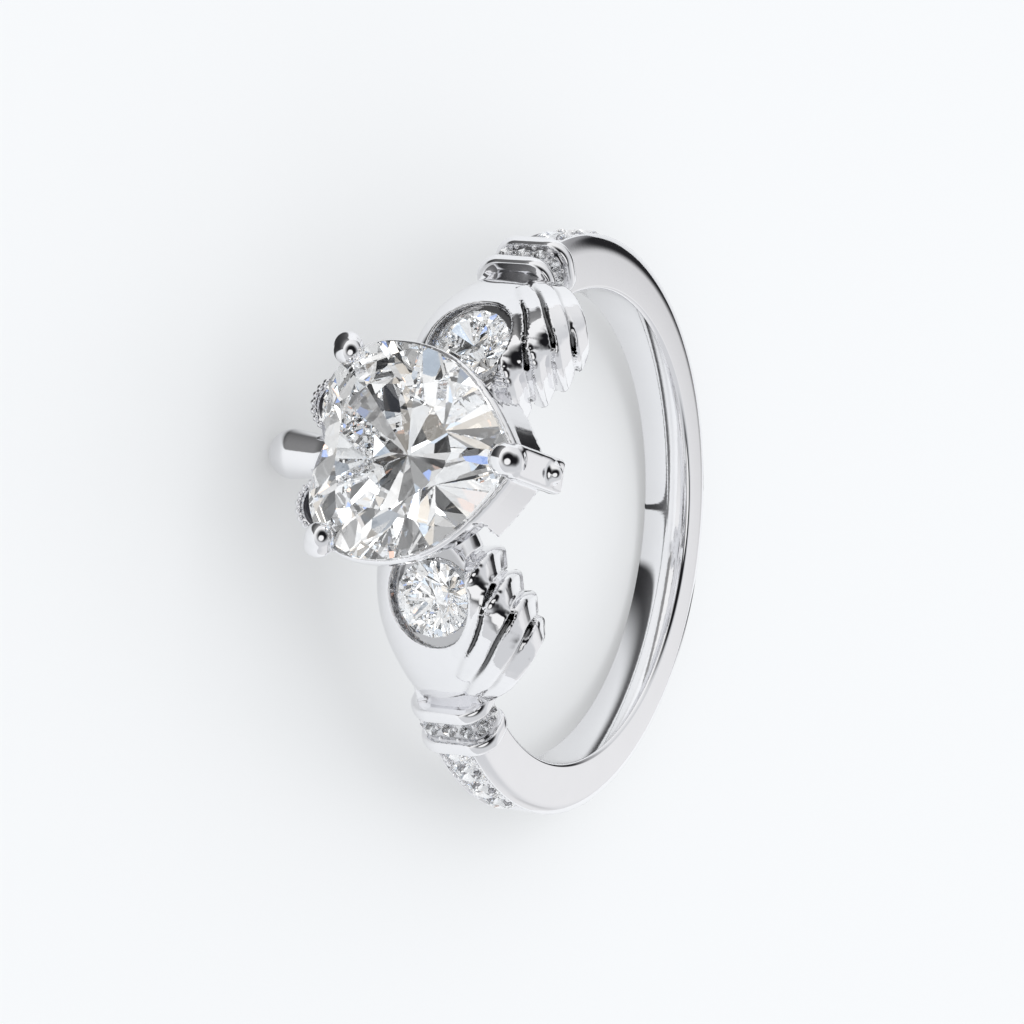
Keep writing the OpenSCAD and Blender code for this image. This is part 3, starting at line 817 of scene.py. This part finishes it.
def brilliant(half):
    bm = bmesh.new()
    for c in (TABLE, -DEEP):
        bm.faces.new([bm.verts.new((a, b, c)) for a, b in half])
    bm.verts.ensure_lookup_table()
    n = len(half)
    for i in range(n):
        k = (i + 1) % n
        bm.faces.new([bm.verts[j] for j in (i, k, n + k, n + i)])
    for way, reach in cut_planes(half):
        foot = way * reach / float(way @ way)
        done = bmesh.ops.bisect_plane(bm, geom=bm.verts[:] + bm.edges[:] + bm.faces[:], dist=1e-5,
                                      plane_co=foot.tolist(), plane_no=way.tolist(), clear_outer=True)
        rim = [e for e in done["geom_cut"] if isinstance(e, bmesh.types.BMEdge) and e.is_boundary]
        if len(rim) > 2:
            bmesh.ops.edgeloop_fill(bm, edges=rim)
    inner = [f for f in bm.faces if all(abs(v.co.x) < 1e-4 for v in f.verts)]
    bmesh.ops.delete(bm, geom=inner, context="FACES")
    copy = bmesh.ops.duplicate(bm, geom=bm.verts[:] + bm.edges[:] + bm.faces[:])["geom"]
    for v in copy:
        if isinstance(v, bmesh.types.BMVert):
            v.co.x *= -1
    bmesh.ops.remove_doubles(bm, verts=bm.verts[:], dist=1e-4)
    bmesh.ops.recalc_face_normals(bm, faces=bm.faces[:])
    points = np.array([(v.co.x, -FINGER_R - GIRDLE - v.co.z, HEART_MID + v.co.y) for v in bm.verts])
    faces = [[v.index for v in f.verts] for f in bm.faces]
    print("heart brilliant:", len(faces), "facets,", sum(e.is_boundary for e in bm.edges), "open edges")
    bm.free()
    return points, faces


piece("heart_brilliant", *brilliant(half_heart), clear_heart, slot="heart_stone", smooth=False)

# %% [markdown]
# ## The crown
# Behind the cleft of the heart sits the crown: a plain polished drop in the middle on a short
# stem, and a lobe on each side with a row of small beads along its edge. The drop melts into the
# stem, so it is a field like the hands.

# %% The crown's drop
DROP_Y = -(FINGER_R + 3.45)


def crown_field(p):
    body = rod(p, [0, DROP_Y, -4.7], [0, DROP_Y, -3.0], 0.9, 0.72)
    body = soft_join(body, rod(p, [0, DROP_Y, -3.0], [0, DROP_Y, -0.9], 0.7, 0.7), 0.2)
    q = np.stack([np.abs(p[:, 0]), p[:, 1], p[:, 2]], 1)
    stem = np.abs(q - [0, DROP_Y + 0.07, -1.66]) - [1.4, 0.3, 0.86]
    stem = np.linalg.norm(np.maximum(stem, 0), axis=1) + np.minimum(stem.max(1), 0) - 0.1
    return soft_join(body, stem, 0.15)


drop_net = net(crown_field, (-1.9, -13.4, -5.9), (1.9, -10.9, -0.02), step=0.08)
piece("crown_drop", *drop_net, bright_metal)

# %% [markdown]
# Round forms are quickest to turn from a profile, as on a lathe. A bead is a small ball. Both are
# made from arrays here, and not with Blender's own tools, so that many can be joined as one piece.

# %% Helpers for turned forms and beads
def lathe(profile, steps):
    points, faces = [], []
    n = len(profile)
    for i in range(steps):
        a, k = 2 * math.pi * i / steps, (i + 1) % steps
        points += [(r * math.cos(a), r * math.sin(a), z) for r, z in profile]
        faces += [(i * n + j, k * n + j, k * n + j + 1, i * n + j + 1) for j in range(n - 1)]
    # The points on the axis fall together, so the faces there are triangles
    kept, at = np.unique(np.array(points).round(6), axis=0, return_inverse=True)
    faces = [list(dict.fromkeys(int(at[i]) for i in f)) for f in faces]
    return kept, [f for f in faces if len(f) > 2]


def ball(middle, r, rings=6, steps=10):
    points = [(0, 0, r)]
    for i in range(1, rings):
        t = math.pi * i / rings
        for a in (2 * math.pi * j / steps for j in range(steps)):
            points.append((r * math.sin(t) * math.cos(a), r * math.sin(t) * math.sin(a), r * math.cos(t)))
    points.append((0, 0, -r))
    last, end = 1 + (rings - 2) * steps, len(points) - 1
    faces = []
    for j in range(steps):
        k = (j + 1) % steps
        faces += [(0, 1 + j, 1 + k), (last + k, last + j, end)]
        for a in range(1, last, steps):
            faces.append((a + j, a + steps + j, a + steps + k, a + k))
    return np.array(points) + middle, faces


print("faces on one bead:", len(ball((0, 0, 0), 1)[1]))

# %% [markdown]
# A lobe of the crown is a round rim with beads set on it one by one. The face inside the rim is
# near-black metal, painted shade of the recess, so the beads stand out. It is a piece of its own with its own
# finish.

# %% The crown's lobes
LOBE_AT, LOBE_SIZE = np.array([1.8, -(FINGER_R + 3.65), -2.95]), 1.05
LOBE_STEPS, BEAD_ANGLE, BEAD_R = 48, 18, 0.13
# how far in from the lobe's edge, height
RIM = [(0.1, -0.45), (0.02, -0.4), (0, -0.3), (0, 0.3), (0.04, 0.4), (0.14, 0.44), (0.24, 0.4),
       (0.3, 0.3), (0.34, 0.05)]
DISH = [(0.28, 0), (0.28, 0.32), (0.34, 0.12)]


def facing_out(p):
    """The lathe turns round Z, and a lobe looks out from the finger hole, along -Y."""
    return np.stack([p[:, 0], -p[:, 2], p[:, 1]], 1) + LOBE_AT


rim_profile = [(0, -0.45)] + [(LOBE_SIZE - r, z) for r, z in RIM] + [(0, 0.05)]
dish_profile = [(0, 0)] + [(LOBE_SIZE - r, z) for r, z in DISH] + [(0.35, 0.1), (0.2, 0.3), (0, 0.36)]
row_r = LOBE_SIZE - 0.12
bead_row = [ball((row_r * math.cos(a), row_r * math.sin(a), 0.42), BEAD_R)
            for a in np.radians(np.arange(0, 360, BEAD_ANGLE))]
points, faces = joined([lathe(rim_profile, LOBE_STEPS)] + bead_row)
pair("crown_lobe", facing_out(points), faces, bright_metal)
# Painted shade: the face inside each lobe gets the near-black metal.
points, faces = lathe(dish_profile, LOBE_STEPS)
pair("crown_face", facing_out(points), faces, painted_shade_metal)

# %% [markdown]
# ## The cuffs
# A cuff wraps each wrist: two raised rims with a row of small stones sunk between them. Both are
# closed loops round the wrist, so one function carries a rounded rectangle along the cuff and
# makes it smaller or larger on the way. A rim swells and falls again, the row is nearly flat.

# %% Cuff rims and their row
CUFF_TURN = 51.5
CUFF = dict(inner=0.35, outer=2.68, low=-1.15, high=1.9, corner=0.95)
CORNER_STEPS = 14
RIMS, RIM_LONG, RIM_HIGH = (-1.0, 0.5), 0.52, 0.14
ROW_SINK, ROW_EDGE_SINK = 0.31, 0.36


def cuff_loop(inset):
    x0, x1 = CUFF["inner"] + inset, CUFF["outer"] - inset
    z0, z1 = CUFF["low"] + inset, CUFF["high"] - inset
    c = CUFF["corner"] - inset
    corners = ((x1 - c, z1 - c, 0), (x0 + c, z1 - c, 90), (x0 + c, z0 + c, 180), (x1 - c, z0 + c, 270))
    loop = []
    for cx, cz, start in corners:
        for i in range(CORNER_STEPS + 1):
            a = math.radians(start + 90 * i / CORNER_STEPS)
            loop.append((cx + c * math.cos(a), cz + c * math.sin(a)))
    return loop


def at_cuff(along, height, z):
    a = math.radians(CUFF_TURN)
    x, y = along, -FINGER_R - height
    return (x * math.cos(a) - y * math.sin(a), x * math.sin(a) + y * math.cos(a), z)


def cuff_band(stations):
    """A closed band through loops, each given by its place along the cuff and its inset."""
    rings = [[at_cuff(s, h, z) for h, z in cuff_loop(inset)] for s, inset in stations]
    n, m = len(rings), len(rings[0])
    faces = [(i * m + j, (i + 1) * m + j, (i + 1) * m + (j + 1) % m, i * m + (j + 1) % m)
             for i in range(n) for j in range(m)]
    return np.array(rings).reshape(-1, 3), [tuple(k % (n * m) for k in f) for f in faces]


def rounded_rim(start, steps=8):
    stations = [(start + 0.02, 0.6)]
    for i in range(steps + 1):
        a = math.pi * i / steps
        swell = RIM_HIGH * math.sin(a) ** 0.7
        stations.append((start + RIM_LONG / 2 - RIM_LONG / 2 * math.cos(a), RIM_HIGH - swell))
    return cuff_band(stations + [(start + RIM_LONG - 0.02, 0.6)])


row = [(RIMS[0] + 0.4, ROW_EDGE_SINK), (RIMS[0] + 0.48, ROW_SINK),
       (RIMS[1] + 0.02, ROW_SINK), (RIMS[1] + 0.1, ROW_EDGE_SINK)]
pair("cuff_rims", *joined([rounded_rim(start) for start in RIMS]), bright_metal)
# Painted shade: the sunk row gets a darker grey metal than its rims.
pair("cuff_row", *cuff_band(row), row_painted_shade_metal)

# %% [markdown]
# ## Beads between the stones
# The setter raises small beads of metal that hold the stones. On the shoulders they stand in
# fours between two stones, in even steps along the hoop, so a loop places them.

# %% Shoulder beads
FIRST_BEADS, NEXT_BEADS, BEAD_LEAN = 57.1, 7.7, 0.9  # degrees
BEAD_SIDE, BEAD_SINK = 0.6, 0.1


def on_hoop(angle, z, sink):
    a = math.radians(angle)
    r = BAND_R - sink
    return np.array([r * math.sin(a), -r * math.cos(a) - BAND_SHIFT, z])


beads = [ball(on_hoop(FIRST_BEADS + NEXT_BEADS * i + lean, z, BEAD_SINK), BEAD_R)
         for i in range(5) for z in (-BEAD_SIDE, BEAD_SIDE) for lean in (-BEAD_LEAN, BEAD_LEAN)]
pair("shoulder_beads", *joined(beads), bright_metal)

# %% [markdown]
# A cuff's stones go round a bend, so even steps would miss them. Its beads find their places from
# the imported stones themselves: two lie over each gap between neighbours.

# %% Cuff beads
CUFF_STONES = 7
CUFF_BEAD_R, BESIDE, RAISED = 0.00009, 0.00026, 0.0001  # metres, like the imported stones


def middle_of(name):
    obj = frame["nodes"][name]
    corners = np.array([obj.matrix_world @ v.co for v in obj.data.vertices])
    return (corners.max(0) + corners.min(0)) / 2


spots = np.array([middle_of("cuff_stone_%d" % (i + 1)) for i in range(CUFF_STONES)])
along_cuff = unit(rested([at_cuff(1, 0, 0)])[0] - rested([at_cuff(0, 0, 0)])[0])
beads = []
for a, b in zip(spots[:-1], spots[1:]):
    gap = (a + b) / 2
    out = unit(np.cross(along_cuff, b - a))
    if out @ (gap - spots.mean(0)) < -1e-5:
        out = -out
    beads += [ball(gap + along_cuff * side * BESIDE + out * RAISED, CUFF_BEAD_R, 5, 8) for side in (-1, 1)]
pair("cuff_beads", *joined(beads), bright_metal, leaned=False)

# %% [markdown]
# ## Floor and light
# Polished metal has no look of its own, it shows what is round it. The ring lies on a plain white
# table under one large soft lamp, with a bright tent all round. The table is a mesh and not a
# plain backdrop, because it takes the soft shadow on which the ring seems to rest.

# %% The table
TABLE_HALF = 3

table_mesh = bpy.data.meshes.new("table_top")
corners = [(x * TABLE_HALF, y * TABLE_HALF, 0) for x, y in ((-1, -1), (1, -1), (1, 1), (-1, 1))]
table_mesh.from_pydata(corners, [], [(0, 1, 2, 3)])
table_top = bpy.data.objects.new("table_top", table_mesh)
bpy.context.scene.collection.objects.link(table_top)
paint = bpy.data.materials.new("white_table")
paint.use_nodes = True
table_shader = paint.node_tree.nodes["Principled BSDF"]
table_shader.inputs["Roughness"].default_value = 0.35
table_mesh.materials.append(paint)
print("table of", 2 * TABLE_HALF, "metres")

# %% [markdown]
# Black cards on the table, close to a polished thing, give it dark lines that show its form. Real
# cards would have to stay out of the picture. Here only the reflections see them. One lies beside
# the head. The inside of the hoop mirrors the table close to its own wall, so a second card lies
# there: a narrow strip, and a broad stroke that fades away to one side.

# %% Black cards that only reflections see
WHITE, BLACK = (0.44, 0.445, 0.45), (0.015, 0.015, 0.016)
STRIP_WAY = (1, 0.344, 0)

cards = paint.node_tree
spot = node(cards, "ShaderNodeNewGeometry").outputs["Position"]


def reach(tree, vector, way):
    """How far a point lies in a direction."""
    dot = node(tree, "ShaderNodeVectorMath", operation="DOT_PRODUCT")
    dot.inputs[1].default_value = way
    tree.links.new(vector, dot.inputs[0])
    return dot.outputs["Value"]


def maths(kind, a, b):
    both = node(cards, "ShaderNodeMath", operation=kind)
    cards.links.new(a, both.inputs[0])
    cards.links.new(b, both.inputs[1])
    return both.outputs[0]


def between(value, start, full, still_full, end):
    """A stroke with two soft edges."""
    return maths("MULTIPLY", eased(cards, value, start, full), eased(cards, value, end, still_full))


x, y, slant = (reach(cards, spot, way) for way in ((1, 0, 0), (0, 1, 0), STRIP_WAY))
head_card = maths("MULTIPLY", eased(cards, x, -0.0011, -0.0024), eased(cards, y, -0.0085, -0.0105))
strip = between(slant, 0.00154, 0.00159, 0.00172, 0.00177)
stroke = between(x, -0.0003, 0.0001, 0.0008, 0.0032)
hoop_card = maths("MULTIPLY", maths("MAXIMUM", strip, stroke), eased(cards, y, 0.0040, 0.0046))
mirrored = node(cards, "ShaderNodeLightPath").outputs["Is Glossy Ray"]
dark = maths("MULTIPLY", maths("MAXIMUM", head_card, hoop_card), mirrored)
tone = mixed(cards, WHITE, BLACK, dark)
cards.links.new(tone, table_shader.inputs["Base Color"])
cards.links.new(tone, table_shader.inputs["Emission Color"])
table_shader.inputs["Emission Strength"].default_value = 1.0
print("nodes in the table's finish:", len(cards.nodes))

# %% [markdown]
# The tent round the ring is bright on the camera's side and greyer behind it. Patches in it give
# the metal its bands: two black ones draw the edges of the hoop and the prongs, grey ones soften
# their borders, and white ones put the long highlights on the hands. It is painted in the world,
# because a world costs no mesh and lights the ring from all sides. Each patch is round, faces a
# way of the drawing and fades from its full angle to its edge.

# %% The surround
TENT = (0.7, 0.71, 0.73)
# shade, way from the ring, angle of the edge, angle where it is full
PATCHES = [
    ((1.0, 1.0, 1.0), (-0.5, -0.5, -0.2), 115, 20),
    ((0.9, 0.9, 0.91), (-0.12, 0.88, 0.46), 26, 12),
    ((0.012, 0.012, 0.014), (0.0, -0.55, 0.83), 60, 30),
    ((0.3, 0.3, 0.31), (-0.5, 0.84, 0.24), 27, 8),
    ((0.02, 0.02, 0.022), (-0.41, 0.88, 0.24), 17, 9),
    ((0.3, 0.3, 0.31), (0.4, 0.87, 0.28), 13, 6),
    ((0.87, 0.87, 0.88), (0.62, 0.78, 0.0), 38, 20),
    ((1.0, 1.0, 1.0), (0.32, -0.6, 0.73), 26, 17)]

world = bpy.data.worlds.new("studio")
bpy.context.scene.world = world
world.use_nodes = True
studio = world.node_tree
around = node(studio, "ShaderNodeTexCoord").outputs["Generated"]
tent = TENT
for shade, way, edge, full in PATCHES:
    facing = reach(studio, around, turned(way))
    part = eased(studio, facing, math.cos(math.radians(edge)), math.cos(math.radians(full)))
    tent = mixed(studio, tent, shade, part)
print("patches in the tent:", len(PATCHES))

# %% [markdown]
# Behind a stone the eye sees many small lamps and gaps of the room at once, broken up by the
# facets. A picture of a room could be used for that, but cells of five brightnesses and a few
# tints do the same, and only light that leaves a stone sees them. The table is lit evenly.

# %% Sparks for the stones
BRIGHTNESS = [(0.0, (0.02,) * 3), (0.22, (0.35,) * 3), (0.42, (0.8,) * 3), (0.68, (1.15,) * 3),
              (0.9, (2.6,) * 3)]
TINTS = [(0.0, (1.0, 1.0, 1.0)), (0.7, (0.75, 0.86, 1.0)), (0.84, (1.0, 0.93, 0.84)),
         (0.93, (1.0, 0.6, 0.45)), (0.965, (0.4, 0.55, 1.0))]


def stepped(value, stops):
    """One colour for each stretch of a value from 0 to 1."""
    ramp = node(studio, "ShaderNodeValToRGB")
    ramp.color_ramp.interpolation = "CONSTANT"
    while len(ramp.color_ramp.elements) < len(stops):
        ramp.color_ramp.elements.new(0.5)
    for element, (start, colour) in zip(ramp.color_ramp.elements, stops):
        element.position, element.color = start, (*colour, 1)
    studio.links.new(value, ramp.inputs["Fac"])
    return ramp.outputs["Color"]


cells = node(studio, "ShaderNodeTexVoronoi", Scale=5.0)
studio.links.new(around, cells.inputs["Vector"])
cell = node(studio, "ShaderNodeSeparateColor")
studio.links.new(cells.outputs["Color"], cell.inputs[0])
spark = mixed(studio, stepped(cell.outputs[0], BRIGHTNESS), stepped(cell.outputs[1], TINTS), 1.0, "MULTIPLY")
path = node(studio, "ShaderNodeLightPath")
seen = mixed(studio, tent, spark, path.outputs["Is Transmission Ray"])
seen = mixed(studio, seen, (0.92, 0.94, 0.96), path.outputs["Is Diffuse Ray"])
sky = studio.nodes["Background"]
studio.links.new(seen, sky.inputs["Color"])
sky.inputs["Strength"].default_value = 1.0
print("surround nodes:", len(studio.nodes))

# %% [markdown]
# One large lamp over the table makes the soft shadow. It stays out of the metal and the stones,
# or they would show a hard white square. Light that leaves a stone also passes the metal behind
# it, so that the facets stay clean and clear.

# %% The lamp over the table
lamp = bpy.data.lights.new("top_box", "AREA")
lamp.shape = "RECTANGLE"
lamp.size, lamp.size_y = 0.5, 0.5
lamp.energy = 0.9
top_box = bpy.data.objects.new("top_box", lamp)
bpy.context.scene.collection.objects.link(top_box)
top_box.location = (-0.1, -0.05, 0.6)
top_box.rotation_euler = (-top_box.location).to_track_quat("-Z", "Y").to_euler()
top_box.visible_glossy = False
top_box.visible_transmission = False
for obj in made:
    if obj.name != "heart_brilliant":
        obj.visible_transmission = False
print("pieces made:", len(made))

# %% [markdown]
# ## Light paths and tone
# Light bounces many times inside a cut stone. With few bounces a stone gets black facets where
# paths end too soon, so the paths are allowed to be long. Sharp light spots that stones and metal
# throw on the table take very long to render cleanly, and are switched off.

# %% Finish
scene = bpy.context.scene
scene.cycles.max_bounces = 32
scene.cycles.transmission_bounces = 24
scene.cycles.glossy_bounces = 28
scene.cycles.caustics_reflective = False
scene.cycles.caustics_refractive = False
scene.cycles.use_denoising = True
scene.view_settings.view_transform = "Standard"
